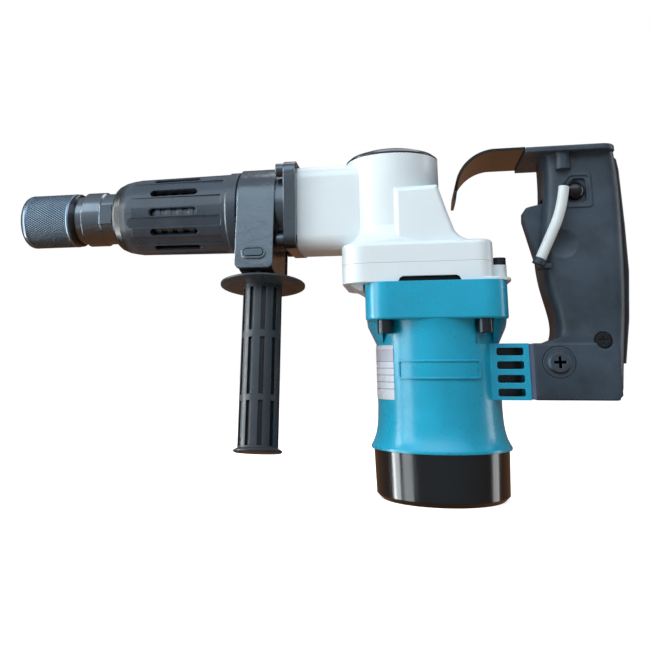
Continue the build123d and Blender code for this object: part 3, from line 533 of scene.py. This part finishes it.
def floor():
    """A pale floor for the camera, and a warm one just under it for the light it throws on the undersides."""
    def plane(name, z, material):
        reach = 4.0
        corners = [(-reach, -reach, z), (reach, -reach, z), (reach, reach, z), (-reach, reach, z)]
        return stage_object(name, corners, [(0, 1, 2, 3)], material)

    pale = plane("floor", 0.0, stage_material("floor", (0.9, 0.9, 0.9), 0.8))
    pale.visible_diffuse = pale.visible_glossy = pale.visible_transmission = pale.visible_shadow = False
    warm = plane("warm_floor", -0.001, stage_material("warm_floor", (0.34, 0.20, 0.13), 0.0))
    warm.visible_camera = warm.visible_glossy = warm.visible_shadow = False


def backdrop():
    """A white room that only the camera sees, so that it doesn't wash out the reflections."""
    reach, bottom, top = 4.0, -0.01, 5.0
    square = ((-1, -1), (1, -1), (1, 1), (-1, 1))
    corners = [(x * reach, y * reach, z) for z in (bottom, top) for x, y in square]
    faces = [(0, 1, 5, 4), (1, 2, 6, 5), (2, 3, 7, 6), (3, 0, 4, 7), (4, 5, 6, 7)]
    white = stage_material("backdrop", (0.0, 0.0, 0.0), 1.0, specular=0.0)
    room = stage_object("backdrop", corners, faces, white)
    room.visible_diffuse = room.visible_glossy = room.visible_transmission = room.visible_shadow = False


def area_light(name, place, size, radiance, colour, seen_by="both"):
    """A rectangular light aimed at the middle; seen_by keeps it to diffuse or to glossy reflection."""
    light = bpy.data.lights.new(name, "AREA")
    light.shape = "RECTANGLE"
    light.size, light.size_y = size
    light.energy = radiance * math.pi * size[0] * size[1]
    light.color = colour
    lamp = bpy.data.objects.new(name, light)
    lamp.location = place
    lamp.rotation_euler = (Vector(MIDDLE) - Vector(place)).to_track_quat("-Z", "Y").to_euler()
    bpy.context.scene.collection.objects.link(lamp)
    lamp.visible_camera = False
    lamp.visible_glossy = seen_by != "diffuse"
    lamp.visible_diffuse = seen_by != "glossy"


def room_light():
    """The room: cool in front and above, brown wood behind and below."""
    world = bpy.data.worlds.new("room")
    bpy.context.scene.world = world
    world.use_nodes = True
    tree = world.node_tree
    back = tree.nodes["Background"]
    back.inputs["Strength"].default_value = ROOM_STRENGTH
    toward = tree.nodes.new("ShaderNodeVectorMath")
    toward.operation = "DOT_PRODUCT"
    toward.inputs[1].default_value = (0.0, 0.55, -0.83)
    ramp = tree.nodes.new("ShaderNodeValToRGB")
    reach = tree.nodes.new("ShaderNodeMapRange")
    reach.inputs["From Min"].default_value = -1.0
    stops = ((0.0, (0.62, 0.72, 0.82)), (0.30, (0.34, 0.39, 0.44)), (0.52, (0.20, 0.19, 0.19)),
             (0.68, (0.20, 0.11, 0.065)), (1.0, (0.30, 0.14, 0.065)))
    while len(ramp.color_ramp.elements) < len(stops):
        ramp.color_ramp.elements.new(0.5)
    for element, (place, colour) in zip(ramp.color_ramp.elements, stops):
        element.position = place
        element.color = (*colour, 1.0)
    coords = tree.nodes.new("ShaderNodeTexCoord")
    tree.links.new(coords.outputs["Generated"], toward.inputs[0])
    tree.links.new(toward.outputs["Value"], reach.inputs["Value"])
    tree.links.new(reach.outputs["Result"], ramp.inputs["Fac"])
    tree.links.new(ramp.outputs["Color"], back.inputs["Color"])


def beside(degrees, distance):
    """A low place beside the hammer; degrees are counted from the front toward the nose."""
    turn = math.radians(degrees)
    return (-distance * math.sin(turn), -distance * math.cos(turn), 0.10)


def stage():
    """Floors, room and lights; the panes reach below the floor, as the low camera's reflections do."""
    floor()
    backdrop()
    room_light()
    area_light("front_fill", (-0.25, -1.0, 1.0), size=(1.2, 0.8), radiance=3.5, colour=(0.86, 0.95, 1.0),
               seen_by="diffuse")
    area_light("sky", (-0.10, -0.95, 1.10), size=(2.4, 0.9), radiance=1.1, colour=(0.72, 0.88, 1.0),
               seen_by="glossy")
    area_light("left_pane", beside(84, 1.25), size=(0.34, 1.5), radiance=6.5, colour=(0.90, 0.97, 1.0))
    area_light("left_glint", beside(89, 1.20), size=(0.12, 1.5), radiance=9.0, colour=(0.92, 0.98, 1.0),
               seen_by="glossy")
    area_light("left_inner_pane", beside(60, 1.25), size=(0.42, 1.5), radiance=3.8, colour=(0.88, 0.96, 1.0))
    area_light("right_pane", beside(-98, 1.25), size=(0.35, 1.4), radiance=3.0, colour=(0.95, 0.98, 1.0))
    area_light("top", (0.1, 0.5, 1.3), size=(0.8, 0.8), radiance=1.8, colour=(1.0, 1.0, 1.0))


def camera():
    data = bpy.data.cameras.new("camera")
    data.lens = LENS
    data.sensor_width = SENSOR
    data.shift_x, data.shift_y = CAMERA_SHIFT
    cam = bpy.data.objects.new("camera", data)
    cam.location = CAMERA_PLACE
    cam.rotation_euler = [math.radians(a) for a in CAMERA_TURN_DEGREES]
    bpy.context.scene.collection.objects.link(cam)
    bpy.context.scene.camera = cam


camera()
dress_frame()
white_cord()
knurled_collar()
stage()
bpy.context.scene.view_settings.view_transform = "Standard"
